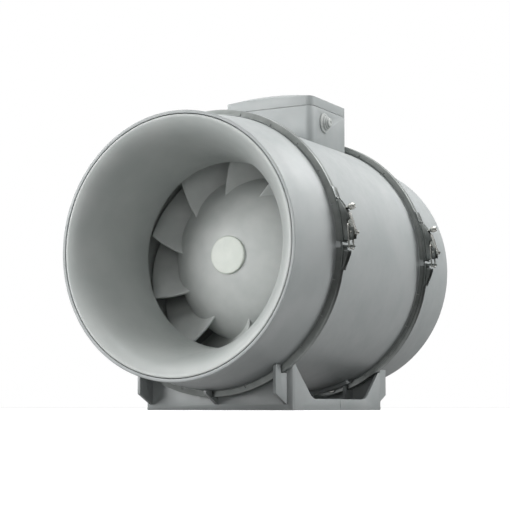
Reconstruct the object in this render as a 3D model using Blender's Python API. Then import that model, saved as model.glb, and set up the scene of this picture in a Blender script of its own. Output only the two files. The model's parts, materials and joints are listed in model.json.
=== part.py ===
"""Inline mixed-flow duct fan, 310 mm spigots.

A row of turned shells is held by two V-band clamps on a moulded base.

Frame: metres, +Z up. The duct axis runs along Y, the inlet faces -Y and the outlet +Y.
The origin is on the underside of the base, at the line where its two halves meet.
Turned pieces are drawn as (radius, y) outlines about their own origin, which lies on the duct axis.
"""
from math import cos, pi, radians, sin, sqrt

import bmesh
import bpy
from mathutils import Matrix, Vector

MM = 0.001

# Duct and shells (millimetres)
AXIS_Z = 186.4
RIM_Y = 222.7
RIM_R = 155.0
CASING_R = 162.0
WALL = 3.5
BORE_R = CASING_R - WALL
GAP = 0.3
RING_STEPS = 36
SMALL_STEPS = 20

# Bellmouth and impeller
THROAT_R = 112.5
THROAT_Y = -107.0
BELL_RIM_R = 150.5
BELL_WALL = 2.5
HUB_R = 105.0
HUB_DOME = 68.9
HUB_DOME_Y = -31.8
HUB_WALL = 3.0
SHROUD_FRONT_Y = -102.5
SHROUD_LENGTH = 110.5
SHROUD_MOUTH_R = 116.5
SHROUD_GROWTH = 33.0
BLADES = 10
BLADE_FRONT_Y = -77.3
BLADE_BACK_Y = -4.0
BLADE_WRAP = 50.0
BLADE_SKEW = 0.19
BLADE_PHASE = 66.7
BLADE_THICK = 3.0
VANES = 9
RIM_WALL = 4.0
SLEEVE_R = 155.6
CAP_HOLE_R = 22.0

# Clamps
JOINT_Y = {"front": -133.5, "rear": 111.0}
FLANGE_R = 167.6
FLANGE_BACK = 2.9
SHELL_FOOT = 4.6
SEAL_HALF = 0.9
SEAL_THICK = 1.2
BAND_R = 170.5
BAND_FOOT_R = 163.7
BAND_HALF = 6.2
BAND_TOP_HALF = 3.9
BAND_END_UP = 1.5
BAND_END_LOW = -1.2

# Latches: (radius, angle) about the duct axis, the angle running from +X towards +Z
PLATE_R = 170.8
PLATE_THICK = 1.4
PLATE_HALF = 6.2
BASE_ANGLES = (0.8, 22.8)
KEEPER_ANGLES = (-9.6, -0.2)
WALL_Y = (3.2, 4.4)
LEVER_PIVOT = (181.6, 4.2)
BAIL_PIVOT = (179.4, 7.2)
HOOK_BAR = (180.0, -1.6)
ROLL = (186.6, 4.0)
ROLL_R = 2.4
LEVER_HALF = 2.9
CHEEK_THICK = 1.0
PIN_R = 1.6
PIN_HALF = 4.7
BAIL_WIRE_R = 0.95
BAIL_HALF = 5.9
LOCK_ANGLE = 13.4
BASE_WALL_SHAPE = [(171.6, 1.4), (184.4, 1.9), (185.2, 4.2), (184.6, 6.0), (178.0, 6.6), (178.0, 8.9),
                   (181.6, 9.0), (180.4, 12.0), (176.5, 15.5), (172.6, 18.5), (171.6, 18.5), (171.6, 14.2),
                   (171.6, 10.0), (171.6, 5.7)]
KEEPER_WALL_SHAPE = [(171.2, -9.4), (173.6, -8.8), (177.5, -6.2), (180.4, -3.6), (181.0, -2.2), (171.2, -2.2)]
HOOK_SHAPE = [(171.2, -1.0), (183.0, -1.0), (183.0, -0.4), (171.2, -0.4)]
LEVER_STRIP_SHAPE = [(182.0, 11.6), (183.6, 9.0), (184.9, 6.4), (186.4, 4.9), (184.6, 4.2), (183.4, 6.4),
                     (182.1, 9.0), (180.5, 11.6)]
LEVER_CHEEK_SHAPE = [(179.0, 2.6), (184.6, 2.9), (185.6, 4.8), (184.2, 6.4), (182.4, 9.6), (180.2, 8.9),
                     (177.5, 8.3), (177.5, 6.1), (179.0, 4.2)]

# Terminal box
BOX_X = 63.0
BOX_Y = (0.0, 103.5)
BOX_CORNER = 9.0
BOX_WALL = 3.0
POST_X = 50.5
POST_IN = 13.0
TUB_TOP = 383.0
LID_SIDE_TOP = 395.0
LID_CROWN = 401.5
GROMMET_Y = 36.0
GROMMET_Z = 365.0

# Base
BASE_X = 100.7
BASE_END = 125.0
BASE_WALL = 3.5
FIN_X = 91.7
FIN_THICK = 3.6
FIN_END = 153.0
FIN_FOOT_Z = 7.3
BOLT_PLACE = (74.0, 107.0)
BOLT_R = 4.0
SILL_Z = 13.5
FLOOR_THICK = 3.5
SPINE_HALF = 14.0
TONGUE = 10.0
CRADLE = (88.0, 103.0)
CRADLE_ANGLE = 24.0
CRADLE_THICK = 4.0
SCREW_ANGLE = 15.0


def clear_scene():
    for thing in list(bpy.data.objects):
        bpy.data.objects.remove(thing, do_unlink=True)


def material(name, colour, roughness, metallic=0.0):
    made = bpy.data.materials.get(name) or bpy.data.materials.new(name)
    made.use_nodes = True
    shader = made.node_tree.nodes["Principled BSDF"]
    shader.inputs["Base Color"].default_value = (*colour, 1.0)
    shader.inputs["Roughness"].default_value = roughness
    shader.inputs["Metallic"].default_value = metallic
    return made


def finish(name, bm, finish_material, origin=(0.0, 0.0, 0.0), guide=False):
    """Turn a bmesh in millimetres into a named object whose origin is at the given point."""
    bmesh.ops.recalc_face_normals(bm, faces=bm.faces)
    bmesh.ops.transform(bm, matrix=Matrix.Scale(MM, 4) @ Matrix.Translation(-Vector(origin)), verts=bm.verts)
    mesh = bpy.data.meshes.new(name)
    bm.to_mesh(mesh)
    bm.free()
    mesh.materials.append(finish_material)
    mesh.shade_smooth()
    mesh.set_sharp_from_angle(angle=radians(30))
    thing = bpy.data.objects.new(name, mesh)
    thing.location = Vector(origin) * MM
    bpy.context.collection.objects.link(thing)
    if guide:
        thing.hide_render = True
        thing.display_type = "WIRE"
    return thing


def combine(thing, operation, *tools):
    for tool in tools:
        modifier = thing.modifiers.new(operation.lower(), "BOOLEAN")
        modifier.operation = operation
        modifier.solver = "EXACT"
        modifier.object = tool
    return thing


def polar(radius, angle, y):
    """A point on the duct's turned surfaces; the angle runs from +X towards +Z."""
    return Vector((radius * cos(radians(angle)), y, AXIS_Z + radius * sin(radians(angle))))


def turned(name, outline, finish_material, steps=RING_STEPS, start=0.0, sweep=360.0, axis="Y", centre=None,
           origin=None, guide=False):
    """Spin a closed (radius, along) outline about an axis through centre."""
    centre = Vector(centre) if centre is not None else Vector((0.0, 0.0, AXIS_Z))
    along = {"X": Vector((1, 0, 0)), "Y": Vector((0, 1, 0)), "Z": Vector((0, 0, 1))}[axis]
    side = {"X": Vector((0, 1, 0)), "Y": Vector((1, 0, 0)), "Z": Vector((1, 0, 0))}[axis]
    turn = {"X": along, "Y": -along, "Z": along}[axis]
    side = Matrix.Rotation(radians(start), 3, turn) @ side
    bm = bmesh.new()
    ring = [bm.verts.new(centre + side * radius + along * place) for radius, place in outline]
    edges = [bm.edges.new(pair) for pair in zip(ring, ring[1:] + ring[:1])]
    full = sweep >= 360.0
    bmesh.ops.spin(bm, geom=ring + edges, cent=centre, axis=turn, angle=radians(sweep), steps=steps,
                   use_merge=full)
    bmesh.ops.remove_doubles(bm, verts=bm.verts, dist=1e-4)
    if not full:
        open_edges = [edge for edge in bm.edges if edge.is_boundary]
        bmesh.ops.holes_fill(bm, edges=open_edges, sides=0)
    return finish(name, bm, finish_material, centre if origin is None else origin, guide)


def prism(name, outline, axis, low, high, finish_material, origin=(0.0, 0.0, 0.0), guide=False):
    """Extrude a closed outline along X (outline in y, z), Y (outline in x, z) or Z (outline in x, y)."""
    place = {
        "X": lambda a, b: Vector((low, a, b)),
        "Y": lambda a, b: Vector((a, low, b)),
        "Z": lambda a, b: Vector((a, b, low)),
    }[axis]
    step = {"X": Vector((1, 0, 0)), "Y": Vector((0, 1, 0)), "Z": Vector((0, 0, 1))}[axis] * (high - low)
    bm = bmesh.new()
    face = bm.faces.new([bm.verts.new(place(a, b)) for a, b in outline])
    grown = bmesh.ops.extrude_face_region(bm, geom=[face])
    moved = [item for item in grown["geom"] if isinstance(item, bmesh.types.BMVert)]
    bmesh.ops.translate(bm, verts=moved, vec=step)
    return finish(name, bm, finish_material, origin, guide)


def block(name, x, y, z, finish_material, guide=False):
    outline = [(x[0], y[0]), (x[1], y[0]), (x[1], y[1]), (x[0], y[1])]
    return prism(name, outline, "Z", z[0], z[1], finish_material, guide=guide)


def rounded(x, y, radius, steps=3):
    """A rectangle's outline with round corners."""
    corners = [(x[1] - radius, y[1] - radius, 0), (x[0] + radius, y[1] - radius, 90),
               (x[0] + radius, y[0] + radius, 180), (x[1] - radius, y[0] + radius, 270)]
    points = []
    for cx, cy, first in corners:
        for step in range(steps + 1):
            angle = radians(first + 90 * step / steps)
            points.append((cx + radius * cos(angle), cy + radius * sin(angle)))
    return points


def rod(name, first, last, radius, finish_material, steps=SMALL_STEPS, guide=False):
    """A plain round bar between two points."""
    first, last = Vector(first), Vector(last)
    bm = bmesh.new()
    bmesh.ops.create_cone(bm, cap_ends=True, segments=steps, radius1=radius, radius2=radius,
                          depth=(last - first).length)
    turn = (last - first).to_track_quat("Z", "Y").to_matrix().to_4x4()
    bmesh.ops.transform(bm, matrix=Matrix.Translation((first + last) / 2) @ turn, verts=bm.verts)
    return finish(name, bm, finish_material, first, guide)


def screw(name, seat, direction, head_r, head_height, shank_r, length, finish_material, steps=8):
    """A pan-head screw: the head sits on the seat, and the shank runs along direction."""
    outline = [(0.0, -head_height), (head_r * 0.8, -head_height), (head_r, -head_height * 0.6), (head_r, 0.0),
               (shank_r, 0.0), (shank_r, length), (0.0, length)]
    made = turned(name, outline, finish_material, steps=steps, axis="Z", centre=(0.0, 0.0, 0.0))
    made.location = Vector(seat) * MM
    made.rotation_mode = "QUATERNION"
    made.rotation_quaternion = Vector(direction).to_track_quat("Z", "Y")
    return made


# ---- profiles ----

def hub_radius(y, inset=0.0):
    """Elliptical dome that becomes a plain drum behind its widest place."""
    if y >= HUB_DOME_Y:
        return HUB_R - inset
    reach = (HUB_DOME_Y - y) / (HUB_DOME - inset)
    return (HUB_R - inset) * sqrt(max(0.0, 1 - reach * reach))


def hub_front(radius, inset=0.0):
    return HUB_DOME_Y - (HUB_DOME - inset) * sqrt(1 - (radius / (HUB_R - inset)) ** 2)


def shroud_radius(y):
    reach = (y - SHROUD_FRONT_Y) / SHROUD_LENGTH
    return SHROUD_MOUTH_R + SHROUD_GROWTH * (1 - (1 - reach) ** 2)


def spread(first, last, count):
    return [first + (last - first) * step / (count - 1) for step in range(count)]


# ---- shells ----

def spigot_outline(joint, rim, side):
    """Shell from a rim to its clamp flange; side is -1 for the inlet and +1 for the outlet."""
    def at(radius, inwards):
        return radius, rim - side * inwards
    face = joint + side * SEAL_HALF
    foot = joint + side * SHELL_FOOT
    shoulder = abs(rim - foot)
    outer = [at(RIM_R, 0.0), at(RIM_R, 27.0), at(RIM_R + 1.4, 38.0), at(RIM_R + 4.3, 58.0),
             at(RIM_R + 6.7, shoulder - 6.0), (RIM_R + 7.5, foot)]
    flange = [(FLANGE_R, joint + side * FLANGE_BACK), (FLANGE_R, face)]
    inner = [(BORE_R, face), (BORE_R, foot), at(BORE_R - 2.2, 58.0), at(RIM_R - RIM_WALL, 27.0),
             at(RIM_R - RIM_WALL, 0.0)]
    return outer + flange + inner


def make_inlet(shell, liner):
    turned("inlet_spigot", spigot_outline(JOINT_Y["front"], -RIM_Y, -1), shell)
    length = RIM_Y + THROAT_Y
    inner = []
    for share in spread(0.0, 1.0, 9):
        angle = pi / 2 * (1 - share)
        inner.append((THROAT_R + (BELL_RIM_R - THROAT_R) * (1 - cos(angle)), THROAT_Y - length * sin(angle)))
    inner[0] = (BELL_RIM_R - 1.2, inner[0][1])
    outer = []
    for share in spread(0.12, 1.0, 6):
        angle = pi / 2 * (1 - share)
        radius = THROAT_R + BELL_WALL + (BELL_RIM_R - THROAT_R) * (1 - cos(angle))
        outer.append((radius, THROAT_Y - (length - BELL_WALL) * sin(angle)))
    skirt_r = RIM_R - RIM_WALL - GAP
    skirt = [(skirt_r - 1.6, -RIM_Y + 3.0), (skirt_r - 1.6, -RIM_Y + 20.0), (skirt_r, -RIM_Y + 20.0),
             (skirt_r, -RIM_Y)]
    lip = [(THROAT_R, THROAT_Y + 4.0), (THROAT_R + BELL_WALL, THROAT_Y + 4.0)]
    turned("inlet_bellmouth", inner + lip + outer[::-1] + skirt, liner)


def make_shroud(liner):
    places = spread(SHROUD_FRONT_Y, SHROUD_FRONT_Y + SHROUD_LENGTH, 5)
    inner = [(shroud_radius(y), y) for y in places]
    outer = [(radius + 2.5, y) for radius, y in inner[:-1]]
    end = inner[-1][1]
    flange = [(BORE_R - 0.4, end), (BORE_R - 0.4, end - 2.5), (inner[-1][0] + 2.5, end - 2.5)]
    turned("impeller_shroud", inner + flange + outer[::-1], liner)


def box_outline(inset=0.0):
    return rounded((-BOX_X + inset, BOX_X - inset), (BOX_Y[0] + inset, BOX_Y[1] - inset), BOX_CORNER - inset)


def post_places():
    for x in (-POST_X, POST_X):
        for y in (BOX_Y[0] + POST_IN, BOX_Y[1] - POST_IN):
            yield x, y


def make_casing(shell):
    front, rear = JOINT_Y["front"], JOINT_Y["rear"]
    outline = [(CASING_R, front + SHELL_FOOT), (FLANGE_R, front + FLANGE_BACK),
               (FLANGE_R, front + SEAL_HALF), (BORE_R, front + SEAL_HALF), (BORE_R, rear - SEAL_HALF),
               (FLANGE_R, rear - SEAL_HALF), (FLANGE_R, rear - FLANGE_BACK), (CASING_R, rear - SHELL_FOOT)]
    casing = turned("centre_casing", outline, shell)
    tub = prism("tub_guide", box_outline(), "Z", AXIS_Z + 100.0, TUB_TOP, shell, guide=True)
    seat = [(0, -20), (BORE_R + 1.5, -20), (BORE_R + 1.5, 130), (0, 130)]
    combine(tub, "DIFFERENCE", turned("tub_seat_guide", seat, shell, guide=True))
    hollow = prism("tub_hollow_guide", box_outline(BOX_WALL), "Z", AXIS_Z + 110.0, TUB_TOP + 20.0, shell,
                   guide=True)
    floor = [(0, -30), (CASING_R, -30), (CASING_R, 140), (0, 140)]
    combine(hollow, "DIFFERENCE", turned("tub_floor_guide", floor, shell, guide=True))
    combine(tub, "DIFFERENCE", hollow)
    posts = []
    for x, y in post_places():
        post = rod("post_guide", (x, y, AXIS_Z + 152.2), (x, y, TUB_TOP - 1.0), 4.5, shell, 10, guide=True)
        combine(post, "DIFFERENCE", rod("pilot_guide", (x, y, TUB_TOP - 22.0), (x, y, TUB_TOP + 5.0), 2.1,
                                        shell, 8, guide=True))
        posts.append(post)
    combine(casing, "UNION", tub, *posts)
    combine(casing, "DIFFERENCE", rod("cable_hole_guide", (BOX_X - 12.0, GROMMET_Y, GROMMET_Z),
                                      (BOX_X + 5.0, GROMMET_Y, GROMMET_Z), 8.6, shell, guide=True))
    combine(casing, "DIFFERENCE", *foot_screw_holes(shell))


def make_outlet(shell):
    turned("outlet_spigot", spigot_outline(JOINT_Y["rear"], RIM_Y, 1), shell)


# ---- terminal box ----

def make_box(shell, screw_metal, rubber, resin, can):
    lid_low = TUB_TOP + 0.4
    crown = LID_CROWN - LID_SIDE_TOP
    top = [(x, LID_SIDE_TOP + crown * (1 - (x / BOX_X) ** 2)) for x in spread(BOX_X, -BOX_X, 9)]
    lid = prism("terminal_box_lid", box_outline(), "Z", lid_low, LID_CROWN + 5.0, shell)
    ends = BOX_X + 5.0
    arch = prism("lid_arch_guide", [(-ends, lid_low - 5), (ends, lid_low - 5), (ends, LID_SIDE_TOP), *top,
                                    (-ends, LID_SIDE_TOP)], "Y", -5.0, BOX_Y[1] + 5.0, shell, guide=True)
    hollow = prism("lid_hollow_guide", box_outline(BOX_WALL), "Z", lid_low - 5.0, LID_SIDE_TOP - 3.0, shell,
                   guide=True)
    combine(lid, "INTERSECT", arch)
    combine(lid, "DIFFERENCE", hollow)
    seat = LID_SIDE_TOP - 1.0
    for number, (x, y) in enumerate(post_places(), start=1):
        combine(lid, "DIFFERENCE",
                rod("lid_well_guide", (x, y, seat), (x, y, seat + 20.0), 4.6, shell, 8, guide=True),
                rod("lid_bore_guide", (x, y, seat - 8.0), (x, y, seat + 2.0), 2.2, shell, 8, guide=True))
        screw(f"lid_screw_{number}", (x, y, seat + GAP), (0, 0, -1), 3.8, 2.0, 1.7, 26.0, screw_metal)
    gasket = prism("lid_gasket", box_outline(BOX_WALL + GAP), "Z", TUB_TOP - 2.5, TUB_TOP + 3.0, rubber)
    combine(gasket, "DIFFERENCE", prism("gasket_hole_guide", box_outline(BOX_WALL + 2.8), "Z", TUB_TOP - 8,
                                        TUB_TOP + 8, rubber, guide=True))
    grommet = [(0.0, -5.0), (5.4, -5.0), (8.2, -3.8), (8.2, GAP), (13.0, GAP), (12.4, 2.0), (9.6, 2.6),
               (9.0, 4.6), (8.0, 4.8), (7.4, 6.8), (6.4, 7.0), (5.8, 9.0), (4.2, 9.4), (0.0, 9.4)]
    turned("cable_grommet", grommet, rubber, steps=16, axis="X", centre=(BOX_X, GROMMET_Y, GROMMET_Z))
    base = AXIS_Z + CASING_R + GAP
    terminals = [(-24.0, base), (24.0, base), (24.0, base + 14.0)]
    for pole in range(5):
        x = 20.0 - 10.0 * pole
        terminals += [(x + 3.0, base + 14.0), (x + 3.0, base + 8.0), (x - 3.0, base + 8.0),
                      (x - 3.0, base + 14.0)]
    terminals += [(-24.0, base + 14.0)]
    prism("terminal_block", terminals, "Y", 24.0, 44.0, resin)
    rod("run_capacitor", (-27.0, 74.0, base + 12.0), (27.0, 74.0, base + 12.0), 11.5, can)


# ---- impeller and motor ----

def blade_guide(name, count, phase, places, root, tip, angle, thick, finish_material, rows=6, columns=3):
    """A ring of solid blades: angle(share, radius) gives each point's turn from the blade's phase."""
    bm = bmesh.new()
    for number in range(count):
        turn = phase + 360.0 * number / count
        grid = []
        for row in range(rows):
            share = row / (rows - 1)
            y = places[0] + (places[1] - places[0]) * share
            low, high = root(y), tip(y)
            line = []
            for column in range(columns):
                radius = low + (high - low) * column / (columns - 1)
                line.append(bm.verts.new(polar(radius, turn + angle(share, radius), y)))
            grid.append(line)
        for first, second in zip(grid, grid[1:]):
            for a, b, c, d in zip(first, first[1:], second[1:], second):
                bm.faces.new((a, b, c, d))
    bmesh.ops.recalc_face_normals(bm, faces=bm.faces)
    made = finish(name, bm, finish_material, (0, 0, AXIS_Z), guide=True)
    solid = made.modifiers.new("solid", "SOLIDIFY")
    solid.thickness = thick * MM
    solid.offset = 0.0
    return made


def make_impeller(blade_plastic, cap_plastic, steel, screw_metal):
    web = (-58.0, -54.0)
    dome = [(radius, hub_front(radius)) for radius in (CAP_HOLE_R, 46.0, 66.0, 82.0, 96.0)]
    drum = [(HUB_R, HUB_DOME_Y), (HUB_R, 2.0), (HUB_R - HUB_WALL, 2.0), (HUB_R - HUB_WALL, HUB_DOME_Y)]
    inside = HUB_R - HUB_WALL
    floor = [(hub_radius(web[1], HUB_WALL), web[1]), (8.0, web[1]), (8.0, web[0]),
             (hub_radius(web[0], HUB_WALL), web[0])]
    back = [(radius, hub_front(radius, HUB_WALL)) for radius in (76.0, 50.0, CAP_HOLE_R)]
    hub = turned("impeller", dome + drum + [(inside - 1.6, -44.0)] + floor + back, blade_plastic, steps=36)

    def root(y):
        return hub_radius(y) - 1.8

    def tip(y):
        return shroud_radius(y) - 2.2

    def turn(share, radius):
        lag = BLADE_SKEW * (radius - 79.0)
        return -BLADE_WRAP * (1.25 * share - 0.25 * share * share) - lag * (1 - 0.5 * share)

    blades = blade_guide("blade_guide", BLADES, BLADE_PHASE, (BLADE_FRONT_Y, BLADE_BACK_Y), root, tip, turn,
                         BLADE_THICK, blade_plastic)
    combine(hub, "UNION", blades)
    holes = []
    for number in range(3):
        place = polar(30.0, 90.0 + 120.0 * number, web[0])
        holes.append(rod("web_hole_guide", place - Vector((0, 2, 0)), place + Vector((0, 12, 0)), 2.6,
                         blade_plastic, 10, guide=True))
        screw(f"impeller_screw_{number + 1}", place - Vector((0, GAP, 0)), (0, 1, 0), 4.5, 3.0, 2.2, 9.0,
              screw_metal)
    combine(hub, "DIFFERENCE", *holes)
    front = hub_front(CAP_HOLE_R)
    cap = [(0.0, front - 2.4), (22.6, front - 2.4), (23.4, front - 1.8), (23.4, front - GAP),
           (21.5, front - GAP), (21.5, front + 6.0), (19.5, front + 6.0), (19.5, front + 0.6),
           (0.0, front + 0.6)]
    turned("hub_cap", cap, cap_plastic, steps=24)
    rotor = [(6.3, web[1] + GAP), (62.0, web[1] + GAP), (62.0, -2.0), (57.5, -2.0), (57.5, -48.0),
             (6.3, -48.0)]
    made = turned("motor_rotor", rotor, steel, steps=24)
    combine(made, "DIFFERENCE", *holes)
    turned("motor_shaft", [(0, -62.0), (6.0, -62.0), (6.0, 30.0), (0, 30.0)], steel, steps=16)


def make_motor(winding, steel, alloy, screw_metal):
    stator = [(18.3, -46.0), (50.0, -46.0), (57.0, -40.0), (57.0, -10.0), (50.0, -4.0), (30.0, -4.0),
              (30.0, 33.0), (18.3, 33.0)]
    turned("motor_stator", stator, winding, steps=24)
    for name, place in (("bearing_front", (-44.0, -34.0)), ("bearing_rear", (20.0, 30.0))):
        ring = [(6.3, place[0]), (18.0, place[0]), (18.0, place[1]), (6.3, place[1])]
        turned(name, ring, steel, steps=16)
    plate = turned("motor_flange", [(0, 33.4), (60.0, 33.4), (60.0, 37.6), (0, 37.6)], alloy, steps=24)
    holes = []
    for number in range(3):
        place = polar(45.0, 30.0 + 120.0 * number, 33.4)
        holes.append(rod("flange_hole_guide", place - Vector((0, 4, 0)), place + Vector((0, 14, 0)), 2.6,
                         alloy, 10, guide=True))
        screw(f"motor_screw_{number + 1}", place - Vector((0, GAP, 0)), (0, 1, 0), 4.5, 3.0, 2.2, 12.0,
              screw_metal)
    combine(plate, "DIFFERENCE", *holes)
    return holes


def make_guide_vanes(liner, holes):
    web = (38.0, 42.0)
    cup = [(HUB_R, 6.0), (HUB_R, 60.0), (100.0, 100.0), (97.0, 100.0), (102.0, 60.0), (102.0, web[1]),
           (16.0, web[1]), (16.0, web[0]), (102.0, web[0]), (102.0, 6.0)]
    made = turned("guide_vane_ring", cup, liner)
    sleeve = [(SLEEVE_R, 12.0), (BORE_R - 0.4, 12.0), (BORE_R - 0.4, 100.0), (SLEEVE_R, 100.0)]
    ring = turned("vane_ring_guide", sleeve, liner, guide=True)
    vanes = blade_guide("vane_guide", VANES, 10.0, (20.0, 92.0), lambda y: 101.0 if y < 70 else 98.6,
                        lambda y: SLEEVE_R + 1.2, lambda share, radius: 34.0 * (1 - (1 - share) ** 2), 2.4,
                        liner, rows=4, columns=2)
    combine(made, "UNION", vanes, ring)
    combine(made, "DIFFERENCE", *holes)
    tail = [(99.5, 100.4), (96.0, 114.0), (82.0, 134.0), (44.0, 148.0), (0.0, 151.0), (0.0, 148.5),
            (43.0, 145.5), (80.0, 131.6), (93.0, 113.0), (96.5, 100.4)]
    turned("tail_cone", tail, liner, steps=32)


# ---- base ----

def foot_screw_places():
    for side in (-1, 1):
        for angle in (270.0 - SCREW_ANGLE, 270.0 + SCREW_ANGLE):
            yield side * sum(CRADLE) / 2, angle


def foot_screw_holes(finish_material):
    return [rod("foot_hole_guide", polar(150.0, angle, y), polar(175.0, angle, y), 2.6, finish_material, 10,
                guide=True) for y, angle in foot_screw_places()]


def make_foot(name, side, plastic):
    """One half of the base; side is -1 for the inlet half and +1 for the outlet half."""
    def yz(points):
        return [(side * y, z) for y, z in points]

    joint = JOINT_Y["front"] if side < 0 else JOINT_Y["rear"]
    casing_side = joint - side * (BAND_HALF + 0.7)
    spigot_side = joint + side * (BAND_HALF + 0.7)
    cradle_r = (CASING_R + 0.5, CASING_R + 0.5 + CRADLE_THICK)
    clearance = [(0, -side * 20.0), (cradle_r[0], -side * 20.0), (cradle_r[0], casing_side),
                 (BAND_R + 0.8, casing_side), (BAND_R + 0.8, spigot_side), (CASING_R + 1.2, spigot_side),
                 (CASING_R + 1.2, side * 170.0), (0, side * 170.0)]
    room = turned("duct_room_guide", clearance, plastic, guide=True)
    near = GAP / 2
    inside = BASE_END - BASE_WALL

    def reach(first, last):
        return sorted((side * first, side * last))

    def chunk(x, y, z):
        return block("foot_part_guide", x, y, z, plastic, guide=True)

    rim = prism(name, rounded((-BASE_X, BASE_X), (-BASE_END, BASE_END), 6.0), "Z", 0.0, 75.0, plastic)
    hollow = rounded((-BASE_X + BASE_WALL, BASE_X - BASE_WALL), (-inside, inside), 3.0)
    inner = prism("foot_hollow_guide", hollow, "Z", -5.0, 80.0, plastic, guide=True)
    outline = yz([(66.0, SILL_Z), (75.0, 14.8), (81.5, 19.0), (115.5, 50.0), (123.0, 58.0), (123.0, 90.0),
                  (-140.0, 90.0), (-140.0, SILL_Z)])
    window = prism("foot_window_guide", outline, "X", -BASE_X - 10, BASE_X + 10, plastic, guide=True)
    beside = chunk((-BASE_X - 10, BASE_X + 10), reach(near, -BASE_END - 10), (-10.0, 90.0))
    rebate = chunk((-BASE_X - 5, BASE_X + 5), reach(BASE_END - 1.6, BASE_END + 5), (-2.0, 3.0))
    strips = [chunk(sorted((flip * 84.0, flip * (BASE_X - 1))), reach(near, inside + 1), (0.0, FLOOR_THICK))
              for flip in (-1, 1)]
    spine = chunk((-SPINE_HALF, SPINE_HALF), reach(-TONGUE if side < 0 else near, inside + 1),
                  (0.0, FLOOR_THICK))
    floor = chunk((-BASE_X + 1, BASE_X - 1), reach(92.0, inside + 1), (0.0, FLOOR_THICK))
    ribs = [chunk(sorted((flip * 58.0, flip * 61.0)), reach(CRADLE[0], inside + 1), (0.0, 60.0))
            for flip in (-1, 1)]
    low_y, high_y = reach(*CRADLE)
    cradle = turned("foot_cradle_guide", [(cradle_r[0], low_y), (cradle_r[1], low_y), (cradle_r[1], high_y),
                                          (cradle_r[0], high_y)], plastic, steps=8,
                    start=270 - CRADLE_ANGLE, sweep=2 * CRADLE_ANGLE, guide=True)
    fin = yz([(BASE_END - 1.0, FIN_FOOT_Z), (BASE_END + 2.0, FIN_FOOT_Z), (FIN_END, 19.6), (FIN_END, 75.0),
              (BASE_END - 1.0, 75.0)])
    fins = [prism("foot_fin_guide", fin, "X", x - FIN_THICK / 2, x + FIN_THICK / 2, plastic, guide=True)
            for x in (-FIN_X, 0.0, FIN_X)]
    bolts = [rod("foot_bolt_guide", (x, side * BOLT_PLACE[1], -5.0), (x, side * BOLT_PLACE[1], 8.0), BOLT_R,
                 plastic, 16, guide=True) for x in (-BOLT_PLACE[0], BOLT_PLACE[0])]
    combine(rim, "DIFFERENCE", inner, window, beside, rebate)
    combine(rim, "UNION", *strips, spine, floor, *ribs, *fins)
    combine(rim, "DIFFERENCE", room)
    combine(rim, "UNION", cradle)
    combine(rim, "DIFFERENCE", *bolts, *foot_screw_holes(plastic))
    if side > 0:
        combine(rim, "DIFFERENCE", chunk((-SPINE_HALF - GAP, SPINE_HALF + GAP), (-5.0, TONGUE + GAP),
                                         (-5.0, 5.0)))


def make_foot_screws(screw_metal):
    seat_r = CASING_R + 0.5 + CRADLE_THICK + GAP + 0.4
    for number, (y, angle) in enumerate(foot_screw_places(), start=1):
        seat = polar(seat_r, angle, y)
        inwards = Vector((0, y, AXIS_Z)) - seat
        screw(f"foot_screw_{number}", seat, inwards, 4.8, 2.6, 2.2, 8.2, screw_metal)


# ---- clamps ----

def make_clamp(place, steel, rubber, bright):
    joint = JOINT_Y[place]

    def about(points):
        return [(radius, joint + offset) for radius, offset in points]

    band = about([(BAND_FOOT_R, -BAND_HALF), (BAND_R, -BAND_TOP_HALF), (BAND_R, BAND_TOP_HALF),
                  (BAND_FOOT_R, BAND_HALF), (BAND_FOOT_R, 5.0), (169.2, 3.2), (169.2, -3.2),
                  (BAND_FOOT_R, -5.0)])
    turned(f"clamp_band_{place}", band, steel, steps=RING_STEPS, start=BAND_END_UP,
           sweep=360.0 - BAND_END_UP + BAND_END_LOW)
    half = SEAL_THICK / 2
    seal = about([(BORE_R + 0.5, -half), (FLANGE_R - 0.8, -half), (FLANGE_R - 0.8, half),
                  (BORE_R + 0.5, half)])
    turned(f"clamp_seal_{place}", seal, rubber)
    make_latch(place, joint, steel, bright)


def arc_plate(name, angles, joint, finish_material, steps):
    """The latch's foot: a strip that follows the band between two angles."""
    outline = [(PLATE_R, joint - PLATE_HALF), (PLATE_R + PLATE_THICK, joint - PLATE_HALF),
               (PLATE_R + PLATE_THICK, joint + PLATE_HALF), (PLATE_R, joint + PLATE_HALF)]
    return turned(name, outline, finish_material, steps=steps, start=angles[0], sweep=angles[1] - angles[0])


def upright(name, shape, low, high, finish_material, guide=True, origin=(0.0, 0.0, 0.0)):
    """A flat plate across the duct axis, its (radius, angle) outline extruded from y = low to y = high."""
    outline = [(polar(*place, 0).x, polar(*place, 0).z) for place in shape]
    return prism(name, outline, "Y", low, high, finish_material, origin, guide)


def pair(name, shape, joint, inner, outer, finish_material):
    """Two matching uprights, one on each side of the band's middle."""
    return [upright(name, shape, *sorted((joint + side * inner, joint + side * outer)), finish_material)
            for side in (-1, 1)]


def across(name, place, joint, half, radius, finish_material, guide=True):
    first, last = polar(*place, joint - half), polar(*place, joint + half)
    return rod(name, first, last, radius, finish_material, 8, guide=guide)


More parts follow.
